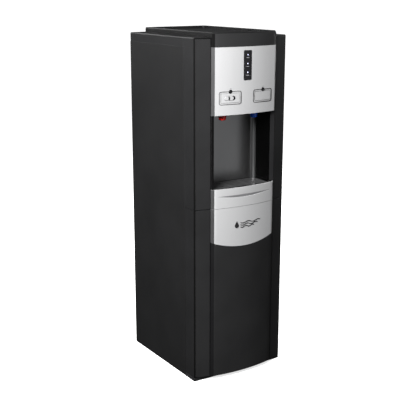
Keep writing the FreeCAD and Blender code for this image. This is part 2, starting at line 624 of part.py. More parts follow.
# ---- water path -------------------------------------------------------------------------
def build_water_path():
    px, py = PROBE
    cap_z = 478.0
    cap = [(0, cap_z + 24), (22.5, cap_z + 24), (22.5, cap_z), (26, cap_z), (26, cap_z + 28, 2),
           (5, cap_z + 28), (5, cap_z + 40), (0, cap_z + 40)]
    parts["probe_cap"] = turned(cap, px, py)
    parts["probe_tube"] = rod(px, py, 26, 5.9, cap_z + 24 - 26).cut(rod(px, py, 25, 4, 470))
    pump_z = DECK_Z + 3
    hose_z = 562.0
    parts["probe_hose"] = tube([(px, py, cap_z + 40), (px, py, hose_z), (px, -40, hose_z),
                                (112, -40, hose_z)], 4, 10)
    pump_body = rounded_box(62, 104, -66, -14, pump_z, pump_z + 46, 6)
    motor = rod(62, -40, pump_z + 22, 17, -0.1 + 30, V(-1, 0, 0))
    inlet = rod(104, -40, hose_z - 0.5, 3.5, 8, TO_RIGHT)
    parts["pump"] = join([pump_body, motor, inlet])

    cx, cy = COLD_TANK
    neck = 7.0
    wall = 1.2
    tank = [(0, 842), (72, 842, 8), (72, 985, 14), (neck, 985), (neck, 985 - wall),
            (72 - wall, 985 - wall, 14 - wall), (72 - wall, 842 + wall, 8 - wall), (0, 842 + wall)]
    parts["cold_tank"] = turned(tank, cx, cy)
    rings = []
    coil_z = 875.0
    for i in range(9):
        ring = Part.makeTorus(78, 3, V(cx, cy, coil_z + 11 * i))
        rings.append(ring)
    riser = rod(cx - 78, cy, coil_z, 2.2, 88)
    parts["evaporator_coil"] = join(rings + [riser])

    hx, hy = HOT_TANK
    tank = [(0, 625), (45, 625, 6), (45, 780, 10), (neck, 780), (neck, 780 - wall),
            (45 - wall, 780 - wall, 10 - wall), (45 - wall, 625 + wall, 6 - wall), (0, 625 + wall)]
    parts["hot_tank"] = turned(tank, hx, hy)
    band = rod(hx, hy, 650, 48, 46).cut(rod(hx, hy, 649, 45.1, 48))
    terminal = box(hx - 10, hx + 10, hy - 60, hy - 46.5, 662, 684)
    parts["band_heater"] = join([band, terminal])

    hoses = []
    hoses.append(tube([(95, -55, pump_z + 46), (95, -55, 1014), (60, 30, 1014), (60, 30, 985)], 4, 12))
    hoses.append(rod(TAP_X, -116, PAD_Z, 4, 101, TO_BACK))
    hoses.append(tube([(70, 70, 780), (70, 70, 806), (-TAP_X, -60, 806), (-TAP_X, -60, PAD_Z),
                       (-TAP_X, -116, PAD_Z)], 4, 12))
    hoses.append(rod(92, 78, 780, 4, 62))
    hoses.append(tube([(92, 70, 625), (92, 70, 600), (SERVICE_X, 110, 575), (SERVICE_X, 170, 575)],
                      4, 10))
    parts["water_hoses"] = Part.makeCompound(hoses)

    foam = rod(cx, cy, 825, 95, 178).cut(rod(cx, cy, 838, 81.6, 170))
    for hose in (rod(TAP_X, -60, PAD_Z, 4.5, 60, TO_BACK), rod(92, 78, 820, 4.5, 25)):
        foam = foam.cut(hose)
    parts["tank_insulation"] = foam

    drain_y = REAR_PANEL_Y + 1.2
    spout = rod(SERVICE_X, 170, 575, 8, 10, TO_BACK)
    cap = rod(SERVICE_X, drain_y + 1, 575, 13, 14, TO_BACK)
    parts["drain_cap"] = join([spout, cap])


# ---- refrigeration and electrics --------------------------------------------------------
def build_refrigeration():
    cx, cy = COMPRESSOR
    z = DECK_Z + 3
    wall = 8.0
    body = turned([(0, z + 18), (62, z + 18, 20), (67, z + 84, 3), (70.5, z + 84), (70.5, z + 90),
                   (67, z + 90, 3), (60, z + 166, 26), (4, z + 166), (4, z + 166 - wall),
                   (60 - wall, z + 166 - wall, 18), (62 - wall, z + 18 + wall, 12),
                   (0, z + 18 + wall)], cx, cy)
    foot = rounded_box(cx - 78, cx + 78, cy - 58, cy + 58, z + 14, z + 20, 14)
    terminals = box(cx + 66, cx + 84, cy - 20, cy + 20, z + 56, z + 80)
    parts["compressor"] = join([body, foot, terminals])
    mounts = []
    for mx in (-66, 66):
        for my in (-46, 46):
            mounts.append(turned([(0, z), (11, z), (8, z + 7), (10, z + 14), (0, z + 14)],
                                 cx + mx, cy + my))
    parts["compressor_mounts"] = Part.makeCompound(mounts)

    route = [(96, CONDENSER_Y, CONDENSER_Z)]
    left, right = -148.0, 96.0
    for row in range(CONDENSER_ROWS - 1):
        edge = left if row % 2 == 0 else right
        z = CONDENSER_Z + row * CONDENSER_PITCH
        route.append((edge, CONDENSER_Y, z))
        route.append((edge, CONDENSER_Y, z + CONDENSER_PITCH))
    route.append((left + 4, CONDENSER_Y, CONDENSER_Z + (CONDENSER_ROWS - 1) * CONDENSER_PITCH))
    parts["condenser_coil"] = tube(route, CONDENSER_R, CONDENSER_PITCH / 2 - 0.2)

    drier = turned([(0, 716), (2.5, 716), (2.5, 726), (9, 734), (9, 790), (2.5, 798), (2.5, 808),
                    (0, 808)], -130, 20)
    parts["filter_drier"] = drier


def build_electrics():
    board = box(-153, -151.4, -55, 60, 840, 960)
    stock = [box(-151.4, -137, -45, -25, 900, 925), box(-151.4, -137, -18, 2, 900, 925),
             rod(-151.4, 30, 925, 9, 22, TO_RIGHT), rod(-151.4, 40, 890, 6, 16, TO_RIGHT),
             box(-151.4, -133, 15, 50, 846, 872), box(-151.4, -142, -45, 5, 848, 858)]
    display = box(-22, 22, -183.6, -182, 905, 1000)
    posts = [rod(x, -182, z, 2.5, 6, TO_BACK) for x in (-17, 17) for z in (912, 993)]
    parts["circuit_boards"] = Part.makeCompound([join([board] + stock), join([display] + posts)])

    y = REAR_PANEL_Y + 1.2
    bezel = upright_pad(SERVICE_X, 925, 34, 80, 4, y, y + 3)
    for z in (945, 905):
        bezel = bezel.cut(upright_pad(SERVICE_X, z, 20, 28, 1, y - 1, y + 5))
    parts["service_bezel"] = bezel
    for name, z in (("hot_switch", 945), ("cold_switch", 905)):
        pivot_y = y + 0.5
        profile = [(pivot_y - 5, z - 9), (pivot_y - 5, z + 9), (pivot_y + 0.5, z + 12.5),
                   (pivot_y + 6, z + 12.3, 1.2), (pivot_y + 3.6, z), (pivot_y + 6, z - 12.3, 1.2),
                   (pivot_y + 0.5, z - 12.5)]
        rocker = sideways(profile, SERVICE_X - 9.4, SERVICE_X + 9.4)
        rocker.rotate(V(SERVICE_X, pivot_y, z), TO_RIGHT, -ROCKER_SWING / 2)
        trunnion = rod(SERVICE_X - 9.8, pivot_y, z, 2, 19.6, TO_RIGHT)
        parts[name] = join([rocker, trunnion])

    z = 840.0
    flange = upright_pad(SERVICE_X, z, 36, 27, 3, y, y + 2.6)
    housing = box(SERVICE_X - 13.9, SERVICE_X + 13.9, y - 22, y + 1, z - 10.4, z + 10.4)
    hollow = upright([(SERVICE_X - 12, z - 8.2), (SERVICE_X + 12, z - 8.2), (SERVICE_X + 12, z + 3.5),
                      (SERVICE_X + 7.5, z + 8.2), (SERVICE_X - 7.5, z + 8.2),
                      (SERVICE_X - 12, z + 3.5)], y - 15, y + 5)
    inlet = join([flange, housing]).cut(hollow)
    blades = [box(SERVICE_X + dx - 2, SERVICE_X + dx + 2, y - 16, y - 1, z + dz - 1, z + dz + 1)
              for dx, dz in ((-7, 0.5), (0, 4.5), (7, 0.5))]
    parts["mains_inlet"] = join([inlet] + blades)

    screws = []
    places = [(sx * 154, z) for sx in (-1, 1) for z in (40, 280, 520, 760, 990)]
    places += [(0, 16), (0, 1000)]
    for x, z in places:
        head = rod(x, y, z, 3.6, 1.9, TO_BACK)
        screws.append(head.cut(box(x - 0.5, x + 0.5, y + 1, y + 3, z - 2.4, z + 2.4)))
    parts["rear_screws"] = Part.makeCompound(screws)


build_base()
build_cabinet()
build_rear_panel()
build_top()
build_fascia()
build_alcove()
build_control_panel()
build_pads()
build_taps()
build_drip_tray()
build_door()
build_water_path()
build_refrigeration()
build_electrics()

os.makedirs("parts", exist_ok=True)
for name, shape in parts.items():
    solids = shape.Solids
    sound = all(s.isValid() and s.isClosed() for s in solids)
    shape.exportStep("parts/" + name + ".step")
    box_of = shape.BoundBox
    print(f"{name:20s} solids {len(solids):2d} sound {sound} volume {shape.Volume / 1000:9.2f} cm3 "
          f"z {box_of.ZMin:7.1f} {box_of.ZMax:7.1f}")
print(len(parts), "nodes")
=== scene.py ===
# %% [markdown]
# # A floor-standing water dispenser
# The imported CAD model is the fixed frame: its pieces keep their sizes and places. This script adds what the CAD leaves
# out: rounded edges, wires, screws, printed marks, and a worked-out finish for every surface.

# %% Load the frame
import bmesh
import bpy
import json
import math
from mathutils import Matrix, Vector

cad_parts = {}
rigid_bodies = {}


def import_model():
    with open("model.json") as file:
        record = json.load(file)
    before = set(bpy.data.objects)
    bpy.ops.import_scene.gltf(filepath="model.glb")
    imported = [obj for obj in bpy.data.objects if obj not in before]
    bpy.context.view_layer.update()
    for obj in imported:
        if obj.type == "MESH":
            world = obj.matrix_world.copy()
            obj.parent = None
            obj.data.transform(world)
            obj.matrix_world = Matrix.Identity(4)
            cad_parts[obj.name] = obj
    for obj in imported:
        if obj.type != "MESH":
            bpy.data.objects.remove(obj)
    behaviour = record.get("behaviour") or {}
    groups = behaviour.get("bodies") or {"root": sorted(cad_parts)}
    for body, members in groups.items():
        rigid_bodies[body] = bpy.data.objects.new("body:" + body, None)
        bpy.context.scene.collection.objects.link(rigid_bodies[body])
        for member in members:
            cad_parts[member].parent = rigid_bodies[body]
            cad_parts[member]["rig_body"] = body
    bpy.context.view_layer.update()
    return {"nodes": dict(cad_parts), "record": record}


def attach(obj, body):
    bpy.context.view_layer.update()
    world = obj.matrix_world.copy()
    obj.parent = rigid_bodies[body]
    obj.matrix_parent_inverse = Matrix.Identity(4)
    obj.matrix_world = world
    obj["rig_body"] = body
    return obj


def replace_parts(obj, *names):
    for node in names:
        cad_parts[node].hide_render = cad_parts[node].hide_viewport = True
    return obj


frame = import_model()
nodes = frame["nodes"]
MM = 0.001

# %% [markdown]
# The camera stands a little above the lid, off to the object's left, and looks down on it. A lens of about 76 mm on a
# 36 mm sensor keeps the tall box from tapering too much. Aiming the camera by two angles, not with a tracked empty,
# keeps it easy to move: azimuth turns it round, elevation lifts it.

# %% Camera
CAMERA_PLACE = Vector((-1.4425, -2.1669, 1.1720))
CAMERA_AZIMUTH = math.radians(-33.05)
CAMERA_ELEVATION = math.radians(14.16)
LENS_MM = 76.27
SENSOR_MM = 36.0


def direction(azimuth, elevation):
    """Unit vector from the object towards someone standing at that azimuth and elevation."""
    flat = math.cos(elevation)
    return Vector((math.sin(azimuth) * flat, -math.cos(azimuth) * flat, math.sin(elevation)))


def link(thing):
    bpy.context.scene.collection.objects.link(thing)
    return thing


camera = link(bpy.data.objects.new("camera", bpy.data.cameras.new("camera")))
camera.location = CAMERA_PLACE
looking = -direction(CAMERA_AZIMUTH, CAMERA_ELEVATION)
camera.rotation_euler = looking.to_track_quat("-Z", "Y").to_euler()
camera.data.lens = LENS_MM
camera.data.sensor_width = SENSOR_MM
bpy.context.scene.camera = camera
print("camera at", tuple(round(v, 3) for v in camera.location))

# %% [markdown]
# One soft box stands well round to the object's left and above it. The bowed silver front is brightest on its left and
# falls off to the right, and being near, the box leaves every upright face darker towards the floor. A weak second
# box lights the rear of the long left side. Two more light the back and the right side for someone who walks round,
# and a broad sun overhead lights what faces up.

# %% Lights
AIM = Vector((0, 0, 0.75))
SUN_STRENGTH = 1.14
SUN_SPREAD = math.radians(70)
SUN_TILT = (math.radians(8), math.radians(-10), 0)


def soft_box(name, azimuth, elevation, distance, width, height, power):
    """A rectangular area light that faces the object; angles in degrees, lengths in metres, power in watts."""
    data = bpy.data.lights.new(name, "AREA")
    data.shape = "RECTANGLE"
    data.size, data.size_y = width, height
    data.energy = power
    light = link(bpy.data.objects.new(name, data))
    light.location = AIM + direction(math.radians(azimuth), math.radians(elevation)) * distance
    light.rotation_euler = (AIM - light.location).to_track_quat("-Z", "Y").to_euler()
    return light


soft_box("key_box", -57, 28, 1.9, 0.9, 0.9, 95)
soft_box("side_box", -128, 14, 2.6, 1.0, 1.3, 6)
soft_box("back_box", 190, 24, 3.2, 1.8, 1.4, 50)
soft_box("far_box", 102, 18, 2.8, 1.2, 1.6, 90)

overhead = link(bpy.data.objects.new("overhead", bpy.data.lights.new("overhead", "SUN")))
overhead.data.energy = SUN_STRENGTH
overhead.data.angle = SUN_SPREAD
overhead.rotation_euler = SUN_TILT
print("lights:", len(bpy.data.lights))

# %% [markdown]
# The room is a world shader that reads only the direction looked in. It is brighter at the horizon than below it, as
# in a studio where black cloth covers the ground in front of the object, and one side of the room is brighter than
# the other. A pale card low on the right is there for the alcove's rear wall to mirror. What the object mirrors is
# this shaped room, while the space behind it is plain pale paper.

# %% Room
ROOM_BRIGHTNESS = 0.175
ROOM_DIM_SIDE = 0.25
ROOM_LOW = 0.042
LOW_HEIGHT, HORIZON_HEIGHT = -0.5, 0.02
ROOM_TINT = (0.98, 0.99, 1.0, 1)
BRIGHT_SIDE = direction(math.radians(-40), 0)
CARD = direction(math.radians(21), math.radians(-10))
CARD_BRIGHTNESS = 0.42
CARD_EDGE, CARD_FULL = math.radians(24), math.radians(7)
PAPER_WHITE = 1.0

world = bpy.data.worlds.new("studio")
world.use_nodes = True
room = world.node_tree
look = room.nodes.new("ShaderNodeTexCoord")


def facing(axis):
    """How squarely the direction looked in points along an axis, from -1 to 1."""
    node = room.nodes.new("ShaderNodeVectorMath")
    node.operation = "DOT_PRODUCT"
    node.inputs[1].default_value = axis
    room.links.new(look.outputs["Generated"], node.inputs[0])
    return node.outputs["Value"]


def range_of(value, value_from, value_to, brightness_from, brightness_to, kind="LINEAR"):
    """Turns one range of a value into a range of brightness."""
    node = room.nodes.new("ShaderNodeMapRange")
    node.interpolation_type = kind
    node.inputs["From Min"].default_value = value_from
    node.inputs["From Max"].default_value = value_to
    node.inputs["To Min"].default_value = brightness_from
    node.inputs["To Max"].default_value = brightness_to
    room.links.new(value, node.inputs["Value"])
    return node.outputs["Result"]


def combined(first, second, operation="ADD"):
    """Adds two values, or does another sum with them."""
    node = room.nodes.new("ShaderNodeMath")
    node.operation = operation
    room.links.new(first, node.inputs[0])
    room.links.new(second, node.inputs[1])
    return node.outputs["Value"]


height = room.nodes.new("ShaderNodeSeparateXYZ")
room.links.new(look.outputs["Generated"], height.inputs["Vector"])
upright = range_of(height.outputs["Z"], LOW_HEIGHT, HORIZON_HEIGHT, ROOM_LOW, ROOM_BRIGHTNESS, "SMOOTHSTEP")
sideways = range_of(facing(BRIGHT_SIDE), -1.0, 1.0, ROOM_DIM_SIDE, 1.0)
card = range_of(facing(CARD), math.cos(CARD_EDGE), math.cos(CARD_FULL), 0.0, CARD_BRIGHTNESS, "SMOOTHSTEP")
brightness = combined(combined(upright, sideways, "MULTIPLY"), card)
background = room.nodes["Background"]
background.inputs["Color"].default_value = ROOM_TINT
room.links.new(brightness, background.inputs["Strength"])
paper = room.nodes.new("ShaderNodeBackground")
paper.inputs["Color"].default_value = (1, 1, 1, 1)
paper.inputs["Strength"].default_value = PAPER_WHITE
seen = room.nodes.new("ShaderNodeLightPath")
choose = room.nodes.new("ShaderNodeMixShader")
room.links.new(seen.outputs["Is Camera Ray"], choose.inputs["Fac"])
room.links.new(background.outputs["Background"], choose.inputs[1])
room.links.new(paper.outputs["Background"], choose.inputs[2])
room.links.new(choose.outputs["Shader"], room.nodes["World Output"].inputs["Surface"])
bpy.context.scene.world = world
bpy.context.scene.view_settings.view_transform = "Standard"
print("room: brightness", ROOM_BRIGHTNESS, "with a card of", CARD_BRIGHTNESS)

# %% [markdown]
# Every finish starts from one Principled shader. Fixed numbers are typed on its own sockets, and only what varies over
# the surface is wired. Patterns read Object coordinates: the pieces stand at the origin in metres, so a noise scale
# of 1000 gives grains of about a millimetre.

# %% Material helpers
def shader(name, colour, roughness, metallic=0.0, **sockets):
    """A material, its node tree and its Principled node; other sockets are named with _ for spaces."""
    material = bpy.data.materials.new(name)
    material.use_nodes = True
    material.diffuse_color = (*colour, 1)
    tree = material.node_tree
    principled = tree.nodes["Principled BSDF"]
    principled.inputs["Base Color"].default_value = (*colour, 1)
    principled.inputs["Roughness"].default_value = roughness
    principled.inputs["Metallic"].default_value = metallic
    for socket, value in sockets.items():
        principled.inputs[socket.replace("_", " ")].default_value = value
    return material, tree, principled


def object_coordinates(tree, stretch=(1, 1, 1)):
    """Object coordinates, stretched along each axis."""
    place = tree.nodes.new("ShaderNodeTexCoord")
    mapping = tree.nodes.new("ShaderNodeMapping")
    mapping.inputs["Scale"].default_value = stretch
    tree.links.new(place.outputs["Object"], mapping.inputs["Vector"])
    return mapping.outputs["Vector"]


def noise(tree, scale, detail=2.0, stretch=(1, 1, 1), rough=0.5):
    texture = tree.nodes.new("ShaderNodeTexNoise")
    texture.inputs["Scale"].default_value = scale
    texture.inputs["Detail"].default_value = detail
    texture.inputs["Roughness"].default_value = rough
    tree.links.new(object_coordinates(tree, stretch), texture.inputs["Vector"])
    return texture.outputs["Fac"]


def cells(tree, scale, output="Distance", stretch=(1, 1, 1)):
    texture = tree.nodes.new("ShaderNodeTexVoronoi")
    texture.inputs["Scale"].default_value = scale
    tree.links.new(object_coordinates(tree, stretch), texture.inputs["Vector"])
    return texture.outputs[output]


def ramp(tree, value, low, high, start=0.3, stop=0.7):
    """Turns a value into a colour between low and high."""
    node = tree.nodes.new("ShaderNodeValToRGB")
    node.color_ramp.elements[0].position = start
    node.color_ramp.elements[0].color = (*low, 1)
    node.color_ramp.elements[1].position = stop
    node.color_ramp.elements[1].color = (*high, 1)
    tree.links.new(value, node.inputs["Fac"])
    return node.outputs["Color"]


def spread(tree, value, low, high):
    """Maps a 0 to 1 value onto low to high."""
    node = tree.nodes.new("ShaderNodeMapRange")
    node.inputs["To Min"].default_value = low
    node.inputs["To Max"].default_value = high
    tree.links.new(value, node.inputs["Value"])
    return node.outputs["Result"]


def bump(tree, principled, height, strength, depth_mm):
    """Adds a relief to the shader, on top of any that is wired already."""
    node = tree.nodes.new("ShaderNodeBump")
    node.inputs["Strength"].default_value = strength
    node.inputs["Distance"].default_value = depth_mm * MM
    tree.links.new(height, node.inputs["Height"])
    before = principled.inputs["Normal"].links
    if before:
        tree.links.new(before[0].from_socket, node.inputs["Normal"])
    tree.links.new(node.outputs["Normal"], principled.inputs["Normal"])


def shade(colour, factor):
    return tuple(min(1.0, c * factor) for c in colour)


# %% [markdown]
# Painted and moulded parts share three features at different scales: a slow drift of the colour, a roughness that
# changes where hands and cloths have been, and a fine grain. One function makes the powder coat, the satin columns and
# the glossy door, and each differs only in how strong the features are. SOFT dims the mirror of the charcoal parts.

# %% Paint and plastic
def moulded(name, colour, roughness, grain, grain_mm, strength, drift=0.12, smudge=0.06, **sockets):
    """Paint or plastic: grain is the bump's noise scale per metre and grain_mm its depth."""
    material, tree, principled = shader(name, colour, roughness, **sockets)
    tint = ramp(tree, noise(tree, 9, 4), shade(colour, 1 - drift), shade(colour, 1 + drift))
    tree.links.new(tint, principled.inputs["Base Color"])
    wiped = noise(tree, 22, 5, stretch=(1, 1, 0.35), rough=0.6)
    tree.links.new(spread(tree, wiped, roughness - smudge, roughness + smudge), principled.inputs["Roughness"])
    bump(tree, principled, noise(tree, grain, 3), strength, grain_mm)
    return material


SOFT = {"Specular_IOR_Level": 0.14}

powder_coat = moulded("powder_coat", (0.0112, 0.0112, 0.0115), 0.46, 900, 0.25, 0.25, **SOFT)
satin_charcoal = moulded("satin_charcoal", (0.0125, 0.0125, 0.013), 0.42, 1600, 0.12, 0.25, **SOFT)
gloss_charcoal = moulded("gloss_charcoal", (0.0185, 0.0185, 0.019), 0.30, 350, 0.05, 0.10, smudge=0.03, **SOFT)
# Painted shade: a darker copy of the charcoal for the top cover's upward faces and the lid's left side.
painted_shade_charcoal = moulded("painted_shade_charcoal", (0.0045, 0.0045, 0.0046), 0.5, 1600, 0.12, 0.25, **SOFT)
lid_charcoal = moulded("lid_charcoal", (0.0095, 0.0095, 0.0098), 0.36, 350, 0.05, 0.10, smudge=0.03, **SOFT)
band_charcoal = moulded("band_charcoal", (0.024, 0.024, 0.0245), 0.34, 420, 0.06, 0.10, smudge=0.03, **SOFT)
# Near black: the colour of real seams, and a painted shadow in the gaps beside the plates, round the pads and beside
# the lid's band.
seam_and_shade_black = moulded("seam_and_shade_black", (0.0022, 0.0022, 0.0022), 0.7, 1200, 0.1, 0.2, Specular_IOR_Level=0.08)
# Painted shade: the wings beside the bowed middle, in charcoal on the door and in grey on the silver parts.
wing_shade_charcoal = moulded("wing_shade_charcoal", (0.0075, 0.0075, 0.008), 0.45, 800, 0.08, 0.15, Specular_IOR_Level=0.12)
wing_shade_grey = moulded("wing_shade_grey", (0.050, 0.050, 0.051), 0.45, 800, 0.08, 0.15, Specular_IOR_Level=0.15)
# Painted shade for the underside of the finger groove.
grip_shade = moulded("grip_shade", (0.20, 0.20, 0.205), 0.5, 800, 0.08, 0.15, Specular_IOR_Level=0.2)
# Near black: the drip tray's own colour, and a painted shade on the alcove's walls other than the rear one.
alcove_black = moulded("alcove_black", (0.0006, 0.0006, 0.0006), 0.16, 250, 0.03, 0.05, smudge=0.03,
                       Specular_IOR_Level=0.10)
piano_black = moulded("piano_black", (0.006, 0.006, 0.007), 0.10, 250, 0.03, 0.08, smudge=0.03)
matt_black = moulded("matt_black", (0.012, 0.012, 0.013), 0.55, 1400, 0.15, 0.35)
grille_grey = moulded("grille_grey", (0.050, 0.050, 0.051), 0.34, 1200, 0.10, 0.2)
emblem_black = moulded("emblem_black", (0.008, 0.008, 0.009), 0.22, 900, 0.05, 0.1)
mark_grey = moulded("mark_grey", (0.30, 0.30, 0.31), 0.5, 900, 0.05, 0.1)
bay_grey = moulded("bay_grey", (0.42, 0.43, 0.44), 0.45, 1300, 0.15, 0.3, drift=0.05)
liner_grey = moulded("liner_grey", (0.34, 0.345, 0.35), 0.5, 1100, 0.12, 0.3, drift=0.05)
natural_plastic = moulded("natural_plastic", (0.74, 0.73, 0.70), 0.4, 900, 0.1, 0.2, drift=0.04)
spigot_red = moulded("spigot_red", (0.80, 0.020, 0.012), 0.25, 700, 0.05, 0.12, Coat_Weight=0.4)
spigot_blue = moulded("spigot_blue", (0.016, 0.140, 0.86), 0.25, 700, 0.05, 0.12, Coat_Weight=0.4)
rubber = moulded("rubber", (0.018, 0.018, 0.018), 0.75, 1800, 0.2, 0.4)
print("paint and plastic:", len(bpy.data.materials), "materials")


# %% [markdown]
# The silver panels are plastic sprayed with a metallic lacquer: fine aluminium flakes under a clear coat. Each flake
# catches the light on its own, so a very fine cell pattern varies the tone, and a slower noise tips the surface. The
# metallic value of the panels is low, to keep the soft, milky look of paint. The alcove's is nearly 1, to mirror.

# %% Silver lacquer
def flake_silver(name, colour, roughness, metallic=0.4):
    material, tree, principled = shader(name, colour, roughness, metallic=metallic, Coat_Weight=0.15,
                                        Coat_Roughness=0.25)
    flake = cells(tree, 2600, output="Color")
    tint = ramp(tree, flake, shade(colour, 0.90), shade(colour, 1.08), 0.0, 1.0)
    tree.links.new(tint, principled.inputs["Base Color"])
    wiped = noise(tree, 16, 4, stretch=(1, 1, 0.4))
    tree.links.new(spread(tree, wiped, roughness - 0.04, roughness + 0.04), principled.inputs["Roughness"])
    bump(tree, principled, noise(tree, 420, 2), 0.10, 0.05)
    return material


silver = flake_silver("silver_lacquer", (0.64, 0.64, 0.645), 0.46)
alcove_lacquer = flake_silver("alcove_lacquer", (0.31, 0.31, 0.315), 0.32, metallic=0.96)
# Painted shade: a darker copy of the alcove's lacquer for its rounded rear corners.
corner_shade_lacquer = flake_silver("corner_shade_lacquer", (0.15, 0.15, 0.153), 0.34, metallic=0.96)


# %% [markdown]
# Bare metals differ in their marks. Drawn stainless steel carries long fine scratches along one axis, so its noise
# is squeezed across them. Galvanised sheet has spangles, flat crystals of zinc, which a cell pattern gives.
# Copper and enamel are nearly plain, with a slight unevenness.

# %% Metals
def brushed(name, colour, roughness, stretch):
    material, tree, principled = shader(name, colour, roughness, metallic=1.0)
    lines = noise(tree, 60, 6, stretch=stretch, rough=0.7)
    tree.links.new(ramp(tree, lines, shade(colour, 0.85), shade(colour, 1.1)), principled.inputs["Base Color"])
    tree.links.new(spread(tree, lines, roughness - 0.08, roughness + 0.1), principled.inputs["Roughness"])
    bump(tree, principled, lines, 0.15, 0.05)
    return material


def spangled(name, colour, roughness):
    material, tree, principled = shader(name, colour, roughness, metallic=0.85)
    spangle = cells(tree, 85, output="Color", stretch=(1, 1, 1.3))
    tree.links.new(ramp(tree, spangle, shade(colour, 0.8), shade(colour, 1.15), 0.1, 0.9),
                   principled.inputs["Base Color"])
    tree.links.new(spread(tree, noise(tree, 120, 3), roughness - 0.08, roughness + 0.08),
                   principled.inputs["Roughness"])
    bump(tree, principled, noise(tree, 300, 3), 0.12, 0.08)
    return material


stainless = brushed("stainless", (0.60, 0.60, 0.61), 0.28, (12, 12, 1))
chrome = brushed("chrome", (0.80, 0.80, 0.81), 0.12, (1, 1, 6))
screw_steel = brushed("screw_steel", (0.52, 0.52, 0.53), 0.30, (4, 1, 4))
copper = brushed("copper", (0.72, 0.32, 0.17), 0.28, (1, 1, 5))
galvanised = spangled("galvanised", (0.36, 0.37, 0.38), 0.42)
black_enamel = moulded("black_enamel", (0.010, 0.010, 0.011), 0.28, 600, 0.12, 0.2, Coat_Weight=0.3)


# %% [markdown]
# A few things inside need their own recipe: expanded foam shows its beads, a circuit board its tracks under green
# lacquer, a silicone hose lets some light through, and the lamps give off a little light of their own.

# %% Foam, board, hose and lamp
foam, tree, principled = shader("bead_foam", (0.86, 0.86, 0.84), 0.8)
beads = cells(tree, 260)
tree.links.new(ramp(tree, beads, (0.90, 0.90, 0.88), (0.74, 0.74, 0.72), 0.2, 0.9), principled.inputs["Base Color"])
bump(tree, principled, beads, 0.5, 0.6)

board_green, tree, principled = shader("board_green", (0.01, 0.11, 0.04), 0.35)
tracks = cells(tree, 240, stretch=(0.6, 1, 1))
tree.links.new(ramp(tree, tracks, (0.015, 0.20, 0.07), (0.006, 0.08, 0.03), 0.25, 0.3),
               principled.inputs["Base Color"])
bump(tree, principled, tracks, 0.3, 0.1)

hose_silicone, tree, principled = shader("hose_silicone", (0.80, 0.81, 0.79), 0.35, Transmission_Weight=0.35,
                                         IOR=1.41)
tree.links.new(ramp(tree, noise(tree, 60), (0.72, 0.73, 0.71), (0.86, 0.87, 0.85)),
               principled.inputs["Base Color"])

lamp_white, tree, principled = shader("lamp_white", (0.80, 0.82, 1.0), 0.3, Emission_Strength=0.8)
glow = ramp(tree, noise(tree, 500), (0.62, 0.64, 0.98), (0.86, 0.88, 1))
tree.links.new(glow, principled.inputs["Base Color"])
tree.links.new(glow, principled.inputs["Emission Color"])
print("materials in all:", len(bpy.data.materials))


# %% [markdown]
# Real edges are never razor sharp, and the small radius on each is what catches a highlight and makes a part look
# made. The CAD leaves most edges square. A copy of a CAD mesh is welded, its coplanar triangles are merged, and a
# Bevel rounds whatever edge is sharper than thirty degrees. Weighted Normal then keeps the flat faces flat.

# %% Edge rounding
def plain_mesh(thing, name):
    """The evaluated mesh of an object, as a new object at the origin; the old one is removed."""
    bpy.context.view_layer.update()
    graph = bpy.context.evaluated_depsgraph_get()
    mesh = bpy.data.meshes.new_from_object(thing.evaluated_get(graph), preserve_all_data_layers=True,
                                           depsgraph=graph)
    bpy.data.objects.remove(thing)
    mesh.name = name
    return link(bpy.data.objects.new(name, mesh))


def welded(node):
    """A bmesh copy of a CAD node with its triangles joined and coplanar ones merged."""
    bm = bmesh.new()
    bm.from_mesh(nodes[node].data)
    bmesh.ops.remove_doubles(bm, verts=bm.verts, dist=2e-6)
    bmesh.ops.dissolve_limit(bm, angle_limit=math.radians(0.4), verts=bm.verts, edges=bm.edges)
    return bm


def smooth(mesh, sharp_angle=35):
    mesh.shade_smooth()
    mesh.set_sharp_from_angle(angle=math.radians(sharp_angle))


def rounded(thing, name, radius_mm, segments=2):
    """Rounds the edges of a mesh object and returns it as a plain mesh."""
    bevel = thing.modifiers.new("edges", "BEVEL")
    bevel.width = radius_mm * MM
    bevel.segments = segments
    bevel.limit_method = "ANGLE"
    bevel.angle_limit = math.radians(30)
    smooth(thing.data)
    weighted = thing.modifiers.new("flat faces", "WEIGHTED_NORMAL")
    weighted.keep_sharp = True
    return plain_mesh(thing, name)


def place(thing, body, material, slot=None):
    """Gives a finished piece its material and its body."""
    thing.data.materials.clear()
    thing.data.materials.append(material)
    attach(thing, body)
    return thing


slot_of = {row["node"]: row["material_slot"] for row in frame["record"]["subparts"]}


def dress(node, material, radius_mm=0.6, segments=2, where=()):
    """Stands a rounded copy in for a CAD node; where lists (finish, test) for faces that differ.

    A test is given a face's middle in mm and its normal."""
    bm = welded(node)
    mesh = bpy.data.meshes.new(node)
    bm.to_mesh(mesh)
    bm.free()
    piece = rounded(link(bpy.data.objects.new(node + "_copy", mesh)), node + "_skin", radius_mm, segments)
    place(piece, nodes[node]["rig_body"], material, slot_of[node])
    for finish, test in where:
        piece.data.materials.append(finish)
        slot = len(piece.data.materials) - 1
        for face in piece.data.polygons:
            if test(face.center / MM, face.normal):
                face.material_index = slot
    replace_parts(piece, node)
    return piece


def paint(node, material):
    """Keeps a CAD node as it is and gives it a finish."""
    nodes[node].data.materials.clear()
    nodes[node].data.materials.append(material)


# %% [markdown]
# The cabinet: two folded side sheets, the top cover, the front shell with its columns, and the door below. The
# long plates let into the columns are glossier than the shell around them, and the shell turns to dead black in the
# seam beside each plate: the narrow skin beside each plate and the seat behind it are painted black, a painted
# shadow. The bowed middle stands a few millimetres proud, on chamfered wings painted darker, a painted shade, and the
# lid's wings beside its band are painted black as shadow. The top cover's upward faces and the lid's left side take a
# darker charcoal, a painted shade. Each test below picks out faces by where they are, in mm, or by which way they
# face.

